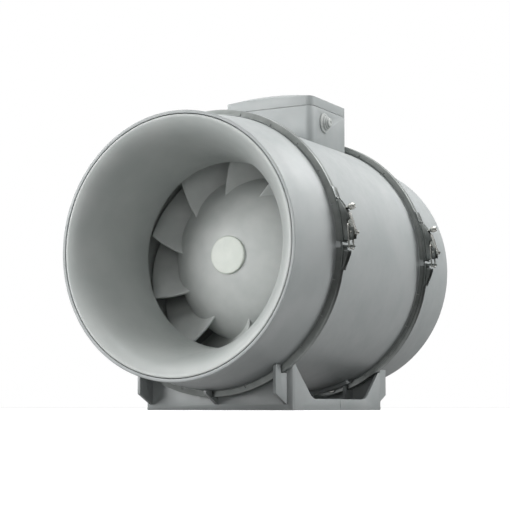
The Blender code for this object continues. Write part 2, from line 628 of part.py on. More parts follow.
def make_latch(place, joint, steel, bright):
    base = arc_plate(f"latch_base_{place}", BASE_ANGLES, joint, steel, 8)
    combine(base, "UNION", *pair("base_wall_guide", BASE_WALL_SHAPE, joint, *WALL_Y, steel))
    combine(base, "DIFFERENCE", across("pin_hole_guide", LEVER_PIVOT, joint, 12.0, PIN_R + GAP, steel))
    lock_foot = polar(PLATE_R + PLATE_THICK - 1.0, LOCK_ANGLE, joint)
    combine(base, "DIFFERENCE", rod("lock_hole_guide", polar(160.0, LOCK_ANGLE, joint),
                                    polar(176.0, LOCK_ANGLE, joint), 2.1, steel, 12, guide=True))
    across(f"latch_pin_{place}", LEVER_PIVOT, joint, PIN_HALF, PIN_R, bright, guide=False)
    knob = [(0, 0.0), (1.8, 0.0), (1.8, 10.9), (4.0, 11.5), (4.0, 16.6), (2.8, 18.4), (0, 18.4)]
    stud = turned(f"latch_lock_screw_{place}", knob, bright, steps=12, axis="Z", centre=(0, 0, 0))
    stud.location = lock_foot * MM
    stud.rotation_mode = "QUATERNION"
    stud.rotation_quaternion = (polar(190.0, LOCK_ANGLE, joint) - lock_foot).to_track_quat("Z", "Y")
    keeper = arc_plate(f"latch_keeper_{place}", KEEPER_ANGLES, joint, steel, 4)
    hook = upright("hook_guide", HOOK_SHAPE, joint - WALL_Y[1], joint + WALL_Y[1], steel)
    combine(keeper, "UNION", hook, *pair("keeper_wall_guide", KEEPER_WALL_SHAPE, joint, *WALL_Y, steel))
    lever = upright(f"latch_lever_{place}", LEVER_STRIP_SHAPE, joint - LEVER_HALF, joint + LEVER_HALF, bright,
                    guide=False, origin=polar(*LEVER_PIVOT, joint))
    combine(lever, "UNION", across("lever_roll_guide", ROLL, joint, LEVER_HALF, ROLL_R, bright),
            *pair("lever_cheek_guide", LEVER_CHEEK_SHAPE, joint, LEVER_HALF - CHEEK_THICK, LEVER_HALF,
                  bright))
    combine(lever, "DIFFERENCE",
            across("lever_hole_guide", LEVER_PIVOT, joint, 12.0, PIN_R + GAP, bright),
            across("bail_hole_guide", BAIL_PIVOT, joint, 12.0, BAIL_WIRE_R + GAP, bright))
    make_bail(f"latch_bail_{place}", joint, bright)


def make_bail(name, joint, bright):
    """A closed wire loop: one bar turns in the lever, the other catches behind the keeper's hook."""
    top_end, low_end = polar(*BAIL_PIVOT, joint), polar(*HOOK_BAR, joint)
    corner = 1.8
    run = (low_end - top_end).normalized()
    across_y = Vector((0, 1, 0))
    path = []
    for end, inward in ((top_end, run), (low_end, -run)):
        sides = (-1, 1) if end is top_end else (1, -1)
        for side in sides:
            edge = end + across_y * side * BAIL_HALF
            before, after = edge - across_y * side * corner, edge + inward * corner
            pair = (before, after) if side == sides[1] else (after, before)
            middle = edge - across_y * side * corner * 0.3 + inward * corner * 0.3
            path += [pair[0], middle, pair[1]]
    curve = bpy.data.curves.new(name, "CURVE")
    curve.dimensions = "3D"
    curve.bevel_depth = BAIL_WIRE_R * MM
    curve.bevel_resolution = 1
    spline = curve.splines.new("POLY")
    spline.points.add(len(path) - 1)
    for point, place in zip(spline.points, path):
        point.co = (*((place - top_end) * MM), 1.0)
    spline.use_cyclic_u = True
    curve.materials.append(bright)
    loop = bpy.data.objects.new(name, curve)
    loop.location = top_end * MM
    bpy.context.collection.objects.link(loop)


def main():
    clear_scene()
    shell = material("grey_abs", (0.55, 0.57, 0.56), 0.45)
    liner = material("grey_liner", (0.42, 0.44, 0.43), 0.5)
    blade_plastic = material("blade_grey", (0.40, 0.42, 0.41), 0.45)
    cap_plastic = material("cap_pale", (0.66, 0.69, 0.66), 0.4)
    rubber = material("seal_rubber", (0.12, 0.12, 0.12), 0.8)
    grommet_rubber = material("grommet_rubber", (0.5, 0.51, 0.51), 0.6)
    steel = material("band_steel", (0.35, 0.35, 0.34), 0.3, 1.0)
    bright = material("bright_steel", (0.62, 0.62, 0.60), 0.22, 1.0)
    winding = material("stator_winding", (0.42, 0.22, 0.10), 0.5, 0.6)
    resin = material("terminal_resin", (0.75, 0.75, 0.72), 0.5)
    can = material("capacitor_can", (0.6, 0.61, 0.62), 0.4)
    make_inlet(shell, liner)
    make_shroud(liner)
    make_casing(shell)
    make_outlet(shell)
    make_box(shell, bright, grommet_rubber, resin, can)
    make_impeller(blade_plastic, cap_plastic, steel, bright)
    holes = make_motor(winding, steel, bright, bright)
    make_guide_vanes(liner, holes)
    make_foot("inlet_foot", -1, shell)
    make_foot("outlet_foot", 1, shell)
    make_foot_screws(bright)
    for place in JOINT_Y:
        make_clamp(place, steel, rubber, bright)


main()
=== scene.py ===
import json
import bpy
import bmesh
from math import cos, pi, radians, sin, sqrt
from mathutils import Matrix, Vector


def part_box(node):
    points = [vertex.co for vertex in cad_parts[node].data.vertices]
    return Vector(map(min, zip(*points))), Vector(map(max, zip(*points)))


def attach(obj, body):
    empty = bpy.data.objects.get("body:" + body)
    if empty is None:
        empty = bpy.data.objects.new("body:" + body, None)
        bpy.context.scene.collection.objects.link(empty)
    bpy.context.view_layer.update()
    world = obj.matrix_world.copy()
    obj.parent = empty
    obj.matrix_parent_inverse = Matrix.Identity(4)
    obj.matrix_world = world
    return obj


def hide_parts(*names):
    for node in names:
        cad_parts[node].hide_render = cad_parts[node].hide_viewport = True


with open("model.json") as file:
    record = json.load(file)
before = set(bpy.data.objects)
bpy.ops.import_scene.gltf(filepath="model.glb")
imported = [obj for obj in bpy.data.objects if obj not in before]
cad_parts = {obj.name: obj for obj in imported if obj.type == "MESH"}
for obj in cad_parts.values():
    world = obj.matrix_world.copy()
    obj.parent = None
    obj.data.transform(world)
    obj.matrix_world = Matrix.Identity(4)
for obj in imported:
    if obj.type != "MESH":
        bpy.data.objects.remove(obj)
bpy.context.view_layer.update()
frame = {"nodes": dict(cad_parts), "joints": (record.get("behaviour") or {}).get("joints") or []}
nodes = frame["nodes"]
joints = {joint["name"]: joint for joint in frame["joints"]}
mm = 0.001
axisZ = joints["impeller_spin"]["pos_m"][2] / mm  # height of the duct axis
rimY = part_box("outlet_spigot")[1][1] / mm
boxLow = [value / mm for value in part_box("terminal_box_lid")[0]]
boxHigh = [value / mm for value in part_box("terminal_box_lid")[1]]


def middleY(node):
    low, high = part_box(node)
    return (low[1] + high[1]) / 2 / mm


clampY = {"front": middleY("clamp_band_front"), "rear": middleY("clamp_band_rear")}


def polar(radius, angle, y):
    # a place round the duct axis, the angle running from +X up towards +Z
    return Vector((radius * cos(radians(angle)), y, axisZ + radius * sin(radians(angle))))


def spaced(first, last, count):
    return [first + (last - first) * step / (count - 1) for step in range(count)]


def filleted(outline, radius=0.6, steps=3):
    # swaps each sharp corner of an outline for a small curve
    points = [Vector(point) for point in outline]
    result = []
    for index, point in enumerate(points):
        before, after = points[index - 1], points[(index + 1) % len(points)]
        toBefore, toAfter = before - point, after - point
        straight = toBefore.angle(toAfter, pi) > radians(155)
        onAxis = abs(point.x) < 0.01
        if straight or onAxis:
            result.append(point)
            continue
        reach = min(radius, 0.45 * toBefore.length, 0.45 * toAfter.length)
        first, last = point + toBefore.normalized() * reach, point + toAfter.normalized() * reach
        for step in range(steps + 1):
            share = step / steps
            result.append(first * (1 - share) ** 2 + point * 2 * share * (1 - share) + last * share ** 2)
    return result


def lathe(outline, steps=160, start=0.0, sweep=360.0, centre=None, axis=(0, -1, 0), side=None):
    # spins a closed outline of (radius, along) points
    centre = Vector(centre) if centre is not None else Vector((0, 0, axisZ))
    turn = Vector(axis).normalized()
    along = -turn if side is None else turn
    side = Vector((1, 0, 0)) if side is None else Vector(side).normalized()
    side = Matrix.Rotation(radians(start), 3, turn) @ side
    bm = bmesh.new()
    ring = [bm.verts.new(centre + side * radius + along * place) for radius, place in outline]
    edges = [bm.edges.new(pair) for pair in zip(ring, ring[1:] + ring[:1])]
    full = sweep >= 360
    bmesh.ops.spin(bm, geom=ring + edges, cent=centre, axis=turn, angle=radians(sweep), steps=steps, use_merge=full)
    bmesh.ops.remove_doubles(bm, verts=bm.verts, dist=0.001)
    if not full:
        bmesh.ops.holes_fill(bm, edges=[edge for edge in bm.edges if edge.is_boundary], sides=0)
    bmesh.ops.recalc_face_normals(bm, faces=bm.faces)
    return bm


def slab(outline, axis, low, high):
    # extrudes a flat outline along X (from y, z), Y (from x, z) or Z (from x, y)
    order = {"X": lambda a, b: (low, a, b), "Y": lambda a, b: (a, low, b), "Z": lambda a, b: (a, b, low)}[axis]
    bm = bmesh.new()
    face = bm.faces.new([bm.verts.new(order(*point)) for point in outline])
    grown = bmesh.ops.extrude_face_region(bm, geom=[face])
    step = {"X": (high - low, 0, 0), "Y": (0, high - low, 0), "Z": (0, 0, high - low)}[axis]
    bmesh.ops.translate(bm, verts=[item for item in grown["geom"] if isinstance(item, bmesh.types.BMVert)], vec=step)
    bmesh.ops.recalc_face_normals(bm, faces=bm.faces)
    return bm


def cuboid(x, y, z):
    bm = bmesh.new()
    size = (x[1] - x[0], y[1] - y[0], z[1] - z[0])
    middle = (sum(x) / 2, sum(y) / 2, sum(z) / 2)
    bmesh.ops.create_cube(bm, size=1.0, matrix=Matrix.Translation(middle) @ Matrix.Diagonal((*size, 1.0)))
    return bm


def bar(first, last, radius, steps=32):
    first, last = Vector(first), Vector(last)
    bm = bmesh.new()
    bmesh.ops.create_cone(bm, cap_ends=True, segments=steps, radius1=radius, radius2=radius,
                          depth=(last - first).length)
    turn = (last - first).to_track_quat("Z", "Y").to_matrix().to_4x4()
    bmesh.ops.transform(bm, matrix=Matrix.Translation((first + last) / 2) @ turn, verts=bm.verts)
    return bm


def roundedRectangle(x, y, radius, steps=8):
    corners = [(x[1] - radius, y[1] - radius, 0), (x[0] + radius, y[1] - radius, 90),
               (x[0] + radius, y[0] + radius, 180), (x[1] - radius, y[0] + radius, 270)]
    outline = []
    for cornerX, cornerY, first in corners:
        for angle in spaced(first, first + 90, steps + 1):
            outline.append((cornerX + radius * cos(radians(angle)), cornerY + radius * sin(radians(angle))))
    return outline


def smoothStep(share):
    share = min(1.0, max(0.0, share))
    return share * share * (3 - 2 * share)


def rawObject(name, bm):
    bmesh.ops.scale(bm, vec=(mm, mm, mm), verts=bm.verts)
    mesh = bpy.data.meshes.new(name)
    bm.to_mesh(mesh)
    bm.free()
    thing = bpy.data.objects.new(name, mesh)
    bpy.context.scene.collection.objects.link(thing)
    return thing


def applied(thing):
    # bakes an object's modifiers into its mesh
    bpy.context.view_layer.update()
    graph = bpy.context.evaluated_depsgraph_get()
    mesh = bpy.data.meshes.new_from_object(thing.evaluated_get(graph))
    thing.modifiers.clear()
    thing.data = mesh
    return thing


def carve(thing, operation, tools):
    # a Boolean with each bmesh in tools, applied at once
    helpers = [rawObject("tool", bm) for bm in tools]
    for helper in helpers:
        modifier = thing.modifiers.new("carve", "BOOLEAN")
        modifier.operation = operation
        modifier.solver = "EXACT"
        modifier.object = helper
    applied(thing)
    for helper in helpers:
        bpy.data.objects.remove(helper)
    return thing


def soften(thing, width, segments=3, angle=35):
    bevel = thing.modifiers.new("edges", "BEVEL")
    bevel.width = width * mm
    bevel.segments = segments
    bevel.limit_method = "ANGLE"
    bevel.angle_limit = radians(angle)
    bevel.miter_outer = "MITER_ARC"
    return applied(thing)


def place(thing, finishMaterial, body, slot, *replaced, sharp=38):
    # material, shading, and the calls that tie a piece to the frame
    thing.data.materials.clear()
    thing.data.materials.append(finishMaterial)
    thing.data.shade_smooth()
    thing.data.set_sharp_from_angle(angle=radians(sharp))
    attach(thing, body)
    if replaced:
        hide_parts(*replaced)
    return thing


def linear(hexColour):
    channels = [int(hexColour[index:index + 2], 16) / 255 for index in (1, 3, 5)]
    return (*[c / 12.92 if c <= 0.04045 else ((c + 0.055) / 1.055) ** 2.4 for c in channels], 1.0)


def addNode(tree, kind, settings=None, **links):
    # one node; settings are properties or input values, and links name the sockets that feed its inputs
    node = tree.nodes.new("ShaderNode" + kind)
    for key, value in (settings or {}).items():
        if isinstance(key, str) and hasattr(node, key):
            setattr(node, key, value)
        else:
            node.inputs[key].default_value = value
    for key, socket in links.items():
        name = key.replace("_", " ")
        target = node.inputs[int(name[3:])] if name.startswith("at ") else node.inputs[name]
        tree.links.new(socket, target)
    return node


def surface(name, colours, roughness, tint, relief, gloss=None, metallic=0.0, ior=1.5, turned=False):
    # tint is (patch size, detail, spread), gloss is (patch size, detail, smoother by, rougher by), and each layer
    # of relief is (feature size, detail, roughness of the noise, strength, depth); sizes are in millimetres
    made = bpy.data.materials.new(name)
    made.use_nodes = True
    tree = made.node_tree
    shader = tree.nodes["Principled BSDF"]
    shader.inputs["Roughness"].default_value = roughness
    shader.inputs["Metallic"].default_value = metallic
    shader.inputs["IOR"].default_value = ior
    where = grainWhere = addNode(tree, "TexCoord").outputs["Object"]
    if turned:  # the grain depends on radius and length alone, so its lines run round the duct axis
        centred = addNode(tree, "Mapping", {"Location": (0, 0, -axisZ * mm)}, Vector=where).outputs["Vector"]
        flat = addNode(tree, "VectorMath", {"operation": "MULTIPLY", 1: (1, 0, 1)}, at_0=centred).outputs["Vector"]
        away = addNode(tree, "VectorMath", {"operation": "LENGTH"}, at_0=flat).outputs["Value"]
        length = addNode(tree, "SeparateXYZ", None, Vector=where).outputs["Y"]
        grainWhere = addNode(tree, "CombineXYZ", None, X=away, Y=length).outputs["Vector"]

    size, detail, spread = tint
    patches = addNode(tree, "TexNoise", {"Scale": 1 / (size * mm), "Detail": detail}, Vector=where)
    share = addNode(tree, "MapRange", {"From Min": 0.5 - spread, "From Max": 0.5 + spread},
                    Value=patches.outputs["Fac"])
    first, last = [linear(colour) for colour in colours]
    mixed = addNode(tree, "Mix", {"data_type": "RGBA", 6: first, 7: last}, at_0=share.outputs["Result"])
    tree.links.new(mixed.outputs[2], shader.inputs["Base Color"])
    if gloss:
        size, detail, smoother, rougher = gloss
        patches = addNode(tree, "TexNoise", {"Scale": 1 / (size * mm), "Detail": detail}, Vector=grainWhere)
        spots = addNode(tree, "MapRange", {"From Min": 0.3, "From Max": 0.7, "To Min": roughness - smoother,
                                           "To Max": roughness + rougher}, Value=patches.outputs["Fac"])
        tree.links.new(spots.outputs["Result"], shader.inputs["Roughness"])
    under = {}
    for size, detail, rough, strength, depth in relief:
        height = addNode(tree, "TexNoise", {"Scale": 1 / (size * mm), "Detail": detail, "Roughness": rough},
                         Vector=grainWhere)
        bumped = addNode(tree, "Bump", {"Strength": strength, "Distance": depth * mm},
                         Height=height.outputs["Fac"], **under)
        under = {"Normal": bumped.outputs["Normal"]}
    tree.links.new(under["Normal"], shader.inputs["Normal"])
    return made


def mouldedPlastic(name, colours, roughness, grain, grainStrength, drift=45):
    # injection-moulded plastic: an even colour that drifts slightly, a fine spark-eroded grain that softens
    # the highlights, and a very shallow waviness from shrinkage
    return surface(name, colours, roughness, (drift, 2.0, 0.15),
                   [(60, 1.0, 0.5, 0.10, 0.5), (grain, 2.0, 0.6, grainStrength, 0.08)], (9, 4.0, 0.05, 0.06),
                   ior=1.53)


def rolledSteel(name, colours, roughness, drawn):
    # stainless strip: fine rolling lines that run round the band, with a slight stain of darker patches
    return surface(name, colours, roughness, (14, 3.0, 0.2), [(drawn, 4.0, 0.5, 0.35, 0.05)],
                   (drawn, 4.0, 0.08, 0.12), metallic=1.0, turned=True)


def platedSteel(name, colours, roughness):
    # bright zinc plate: a clear mirror with cloudy patches and small handling dents
    return surface(name, colours, roughness, (5, 4.0, 0.2), [(1.6, 2.0, 0.5, 0.25, 0.08)], (2.5, 3.0, 0.06, 0.10),
                   metallic=1.0)


def softRubber(name, colours, roughness):
    # moulded rubber: matt, with a powdery bloom that lightens it in patches
    return surface(name, colours, roughness, (6, 4.0, 0.2), [(0.8, 3.0, 0.5, 0.30, 0.08)], ior=1.52)


shellPlastic = mouldedPlastic("mouldedGreyAbs", ("#9BA0A0", "#A3A7A7"), 0.42, 0.9, 0.12)
# the liner grey is lighter than the shell partly as its own tone and partly as painted light, standing in for light
# that falls into the inlet bell
linerPlastic = mouldedPlastic("greyAbsLinerWithPaintedLight", ("#ABB0AE", "#B3B7B5"), 0.38, 1.2, 0.10)
# the blade grey is much lighter than the shell partly as its own tone and partly as painted light, standing in for
# light falling on the impeller deep in the bell
bladePlastic = mouldedPlastic("greyPolyamideWithPaintedLight", ("#C3C7C5", "#CCCFCD"), 0.40, 1.0, 0.14, 25)
capPlastic = mouldedPlastic("paleMouldedCap", ("#D3D9D1", "#DADFD7"), 0.36, 0.8, 0.10, 12)
bandSteel = rolledSteel("rolledStainlessStrip", ("#7B7F7D", "#8C908E"), 0.32, 0.5)
latchSteel = platedSteel("brightZincPlate", ("#B9B9B4", "#D0D0CB"), 0.20)
motorSteel = rolledSteel("turnedMotorSteel", ("#7C7C7A", "#8C8C8A"), 0.34, 0.8)
sealRubber = softRubber("blackSealRubber", ("#16171A", "#232427"), 0.78)
grommetRubber = softRubber("greyGrommetRubber", ("#A4A8A6", "#B2B5B3"), 0.55)
windingVarnish = platedSteel("varnishedCopperWinding", ("#7A3D18", "#9C5524"), 0.38)
castAlloy = rolledSteel("dieCastAluminium", ("#9B9C9D", "#ACADAE"), 0.42, 1.5)
terminalResin = mouldedPlastic("creamTerminalResin", ("#D9D8CF", "#E2E1D9"), 0.45, 0.7, 0.10, 8)
capacitorCan = mouldedPlastic("greyCapacitorCan", ("#9EA1A3", "#A8ABAD"), 0.30, 0.6, 0.08, 15)
print("materials ready")


spigot = {"rimRadius": 155.0, "footRadius": 162.5, "wall": 3.8, "straight": 27.0, "flangeRadius": 167.6,
          "faceGap": 0.9, "footOffset": 4.6, "shoulderOffset": 2.9}


def spigotOutline(joint, rim, side):
    foot = joint + side * spigot["footOffset"]
    length = abs(rim - foot)
    outer, inner = [], []
    for inwards in [0.0] + spaced(spigot["straight"] - 6, length, 18):
        share = smoothStep((inwards - spigot["straight"] + 6) / (length - spigot["straight"] + 6))
        radius = spigot["rimRadius"] + (spigot["footRadius"] - spigot["rimRadius"]) * share
        outer.append((radius, rim - side * inwards))
        inner.append((radius - spigot["wall"], rim - side * inwards))
    flange = [(spigot["flangeRadius"], joint + side * spigot["shoulderOffset"]),
              (spigot["flangeRadius"], joint + side * spigot["faceGap"]),
              (inner[-1][0], joint + side * spigot["faceGap"])]
    return filleted(outer + flange + inner[::-1], 0.7)


inletSpigot = rawObject("inletSpigot", lathe(spigotOutline(clampY["front"], -rimY, -1), 192))
place(inletSpigot, shellPlastic, "fan_body", "casing_plastic", "inlet_spigot")

bell = {"throatRadius": 112.5, "throatY": -107.0, "rimRadius": 150.4, "wall": 2.5, "skirt": 20.0, "lip": 4.0}


def bellCurve(grow, shrink, first, count):
    # a quarter ellipse that opens from the throat to the rim
    length = rimY + bell["throatY"]
    points = []
    for share in spaced(first, 1.0, count):
        angle = pi / 2 * (1 - share)
        radius = bell["throatRadius"] + grow + (bell["rimRadius"] - bell["throatRadius"]) * (1 - cos(angle))
        points.append((radius, bell["throatY"] - (length - shrink) * sin(angle)))
    return points


bellInside = bellCurve(0.0, 0.0, 0.03, 40)
bellBehind = bellCurve(bell["wall"], bell["wall"], 0.10, 24)[::-1]
bellLip = [(bell["throatRadius"], bell["throatY"] + bell["lip"]),
           (bell["throatRadius"] + bell["wall"], bell["throatY"] + bell["lip"])]
bellSkirt = [(bell["rimRadius"] - 1.6, -rimY + 3.5), (bell["rimRadius"] - 1.6, -rimY + bell["skirt"]),
             (bell["rimRadius"], -rimY + bell["skirt"]), (bell["rimRadius"], -rimY + 0.2)]
inletBell = rawObject("inletBellmouth", lathe(filleted(bellInside + bellLip + bellBehind + bellSkirt, 0.5), 192))
place(inletBell, linerPlastic, "fan_body", "liner_plastic", "inlet_bellmouth")
print("inlet ready")


outletSpigot = rawObject("outletSpigot", lathe(spigotOutline(clampY["rear"], rimY, 1), 192))
place(outletSpigot, shellPlastic, "fan_body", "casing_plastic", "outlet_spigot")

shroud = {"front": -102.5, "length": 110.5, "mouth": 116.5, "growth": 33.0, "wall": 2.5, "flange": 158.1}


def shroudRadius(y):
    share = (y - shroud["front"]) / shroud["length"]
    return shroud["mouth"] + shroud["growth"] * (1 - (1 - share) ** 2)


shroudPlaces = spaced(shroud["front"], shroud["front"] + shroud["length"], 24)
shroudInner = [(shroudRadius(y), y) for y in shroudPlaces]
shroudOuter = [(radius + shroud["wall"], y) for radius, y in shroudInner[:-1]]
shroudFlange = [(shroud["flange"], shroudPlaces[-1]), (shroud["flange"], shroudPlaces[-1] - shroud["wall"]),
                (shroudOuter[-1][0] + 0.4, shroudPlaces[-1] - shroud["wall"])]
impellerShroud = rawObject("impellerShroud", lathe(filleted(shroudInner + shroudFlange + shroudOuter[::-1], 0.4)))
place(impellerShroud, linerPlastic, "fan_body", "liner_plastic", "impeller_shroud")

tail = {"radius": 99.5, "front": 100.4, "depth": 50.0, "wall": 2.5}


def tailCurve(inset, count):
    points = []
    for share in spaced(0.0, 1.0, count):
        angle = pi / 2 * share
        points.append(((tail["radius"] - inset) * cos(angle), tail["front"] + (tail["depth"] - inset) * sin(angle)))
    return points


tailCone = rawObject("tailCone", lathe(filleted(tailCurve(0, 20) + tailCurve(tail["wall"], 20)[::-1], 0.5), 128))
place(tailCone, linerPlastic, "fan_body", "liner_plastic", "tail_cone")
print("outlet and shroud ready")


hub = {"radius": 105.0, "dome": 68.9, "domeY": -31.8, "wall": 3.0, "back": 2.0, "capHole": 22.0,
       "webFront": -58.0, "webBack": -54.0}


def hubRadius(y, inset=0.0):
    if y >= hub["domeY"]:
        return hub["radius"] - inset
    share = (hub["domeY"] - y) / (hub["dome"] - inset)
    return (hub["radius"] - inset) * sqrt(max(0.0, 1 - share * share))


def hubFront(radius, inset=0.0):
    return hub["domeY"] - (hub["dome"] - inset) * sqrt(1 - (radius / (hub["radius"] - inset)) ** 2)


def domeArc(inset, first, last, count):
    # evenly turned points on the hub's elliptical dome, from one radius to another
    return [(radius, hubFront(radius, inset)) for radius in spaced(first, last, count)]


hubOutside = domeArc(0, hub["capHole"], 99.0, 30) + domeArc(0, 100.5, 104.6, 6)
hubDrum = [(hub["radius"], hub["domeY"]), (hub["radius"], hub["back"]), (hub["radius"] - hub["wall"], hub["back"]),
           (hub["radius"] - hub["wall"], hub["domeY"])]
webOuter = hubRadius(hub["webBack"], hub["wall"])
hubWeb = [(webOuter, hub["webBack"]), (8.0, hub["webBack"]), (8.0, hub["webFront"]),
          (hubRadius(hub["webFront"], hub["wall"]), hub["webFront"])]
hubInside = domeArc(hub["wall"], 88.0, hub["capHole"], 14)
impellerHub = rawObject("impellerHub", lathe(filleted(hubOutside + hubDrum + [(100.2, -44.0)] + hubWeb + hubInside,
                                                      0.6), 144))
place(impellerHub, bladePlastic, "impeller_assembly", "impeller_plastic", "impeller")

blade = {"count": 10, "phase": 66.7, "front": -77.3, "back": -4.0, "wrap": 50.0, "skew": 0.19, "thick": 3.0,
         "clearance": 2.2, "rows": 22, "columns": 12}


def bladePoint(along, across):
    # along runs from the leading edge to the trailing edge, across from the hub to the tip
    y = blade["front"] + (blade["back"] - blade["front"]) * along
    low, high = hubRadius(y) - 1.8, shroudRadius(y) - blade["clearance"]
    radius = low + (high - low) * across
    lag = blade["skew"] * (radius - 79.0) * (1 - 0.5 * along)
    return radius, -blade["wrap"] * (1.25 * along - 0.25 * along * along) - lag, y


def bladeRing(name, count, phase, shape, rows, columns, thick, edge):
    bm = bmesh.new()
    for number in range(count):
        grid = bmesh.ops.create_grid(bm, x_segments=rows, y_segments=columns, size=0.5)
        for vert in grid["verts"]:
            radius, angle, y = shape(vert.co.x + 0.5, vert.co.y + 0.5)
            vert.co = polar(radius, phase + 360 * number / count + angle, y)
    bmesh.ops.recalc_face_normals(bm, faces=bm.faces)
    ring = rawObject(name, bm)
    wall = ring.modifiers.new("wall", "SOLIDIFY")
    wall.thickness = thick * mm
    wall.offset = 0.0
    applied(ring)
    return soften(ring, edge, 3, 60)


impellerBlades = bladeRing("impellerBlades", blade["count"], blade["phase"], bladePoint, blade["rows"],
                           blade["columns"], blade["thick"], 1.1)
place(impellerBlades, bladePlastic, "impeller_assembly", "impeller_plastic")

capFront = hubFront(hub["capHole"])
cap = {"radius": 23.4, "proud": 3.2, "plug": 21.5, "depth": 6.0, "wall": 2.0}
capFace = [(radius, capFront - cap["proud"] + 0.5 * (radius / cap["radius"]) ** 2)
           for radius in spaced(0.0, cap["radius"] - 1.0, 10)]
capBody = [(cap["radius"], capFront - cap["proud"] + 1.5), (cap["radius"], capFront - 0.3),
           (cap["plug"], capFront - 0.3), (cap["plug"], capFront + cap["depth"]),
           (cap["plug"] - cap["wall"], capFront + cap["depth"]), (cap["plug"] - cap["wall"], capFront + 0.8),
           (0.0, capFront + 0.8)]
hubCap = rawObject("hubCap", lathe(filleted(capFace + capBody, 0.6), 96))
place(hubCap, capPlastic, "impeller_assembly", "cap_plastic", "hub_cap")
print("impeller ready")


vane = {"count": 9, "phase": 10.0, "front": 20.0, "back": 92.0, "turn": 34.0, "thick": 2.4, "ringInner": 155.6,
        "ringOuter": 158.1, "ringFront": 12.0, "ringBack": 100.0}
cup = [(105.0, 6.0), (105.0, 60.0), (104.0, 72.0), (102.3, 86.0), (100.0, 100.0), (97.0, 100.0), (99.3, 86.0),
       (101.0, 72.0), (102.0, 60.0), (102.0, 42.0), (16.0, 42.0), (16.0, 38.0), (102.0, 38.0), (102.0, 6.0)]


def vanePoint(along, across):
    y = vane["front"] + (vane["back"] - vane["front"]) * along
    low = 102.5 if y < 70 else 102.5 - 3.0 * (y - 70) / 22
    return low + (156.8 - low) * across, vane["turn"] * (1 - (1 - along) ** 2), y


motorCup = rawObject("motorCup", lathe(filleted(cup, 0.6), 128))
place(motorCup, linerPlastic, "fan_body", "liner_plastic", "guide_vane_ring")
vaneSleeve = [(vane["ringInner"], vane["ringFront"]), (vane["ringOuter"], vane["ringFront"]),
              (vane["ringOuter"], vane["ringBack"]), (vane["ringInner"], vane["ringBack"])]
guideSleeve = rawObject("guideSleeve", lathe(filleted(vaneSleeve, 0.6)))
place(guideSleeve, linerPlastic, "fan_body", "liner_plastic")
guideVanes = bladeRing("guideVanes", vane["count"], vane["phase"], vanePoint, 16, 6, vane["thick"], 0.8)
place(guideVanes, linerPlastic, "fan_body", "liner_plastic")
print("guide vanes ready")


casing = {"radius": 162.0, "bore": 158.5}
tub = {"corner": 9.0, "wall": 3.0, "top": 383.0, "postRadius": 4.5, "postIn": 12.5, "postFront": 13.0}
boxX = boxHigh[0]
boxY = (boxLow[1], boxHigh[1])

front, rear = clampY["front"], clampY["rear"]
casingOutline = [(casing["radius"], front + 4.6), (spigot["flangeRadius"], front + 2.9),
                 (spigot["flangeRadius"], front + 0.9), (casing["bore"], front + 0.9), (casing["bore"], rear - 0.9),
                 (spigot["flangeRadius"], rear - 0.9), (spigot["flangeRadius"], rear - 2.9),
                 (casing["radius"], rear - 4.6)]
casingShell = rawObject("casingShell", lathe(filleted(casingOutline, 0.7), 192))
place(casingShell, shellPlastic, "fan_body", "casing_plastic", "centre_casing")


def ductCore(radius):
    return lathe([(0, -30), (radius, -30), (radius, 140), (0, 140)], 192)


tubOuter = roundedRectangle((-boxX, boxX), boxY, tub["corner"])
tubInner = roundedRectangle((-boxX + tub["wall"], boxX - tub["wall"]), (boxY[0] + tub["wall"], boxY[1] - tub["wall"]),
                            tub["corner"] - tub["wall"])
grommetLow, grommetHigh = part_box("cable_grommet")
grommetY, grommetZ = [(grommetLow[i] + grommetHigh[i]) / 2 / mm for i in (1, 2)]
cableBore = bar((boxX - 12, grommetY, grommetZ), (boxX + 5, grommetY, grommetZ), 8.6, 48)
terminalTub = rawObject("terminalTub", slab(tubOuter, "Z", axisZ + 100, tub["top"]))
carve(terminalTub, "DIFFERENCE", [slab(tubInner, "Z", axisZ + 90, tub["top"] + 20), ductCore(casing["radius"] - 1.2),
                                  cableBore])
soften(terminalTub, 0.5, 2)
place(terminalTub, shellPlastic, "fan_body", "casing_plastic")

postSpots = [(x, y) for x in (-boxX + tub["postIn"], boxX - tub["postIn"])
             for y in (boxY[0] + tub["postFront"], boxY[1] - tub["postFront"])]
for number, (x, y) in enumerate(postSpots, start=1):
    post = rawObject(f"tubPost{number}", bar((x, y, axisZ + 145), (x, y, tub["top"] - 1), tub["postRadius"]))
    carve(post, "DIFFERENCE", [bar((x, y, tub["top"] - 22), (x, y, tub["top"] + 5), 2.1, 24),
                               ductCore(casing["radius"] - 1.2)])
    place(post, shellPlastic, "fan_body", "casing_plastic")
print("casing ready")


lid = {"low": boxLow[2], "side": 395.0, "crown": boxHigh[2] - 395.0, "edge": 1.6, "roll": 13.0, "well": 4.6,
       "seat": 394.0}


def crownHeight(x, y):
    # the top arches across the box and rolls over into its front and back faces
    inwards = min(y - boxY[0], boxY[1] - y) / lid["roll"]
    rolled = sqrt(1 - (1 - min(1.0, max(0.0, inwards))) ** 2)
    return lid["side"] + lid["crown"] * (1 - abs(x / boxX) ** 2.4) * (0.12 + 0.88 * rolled)


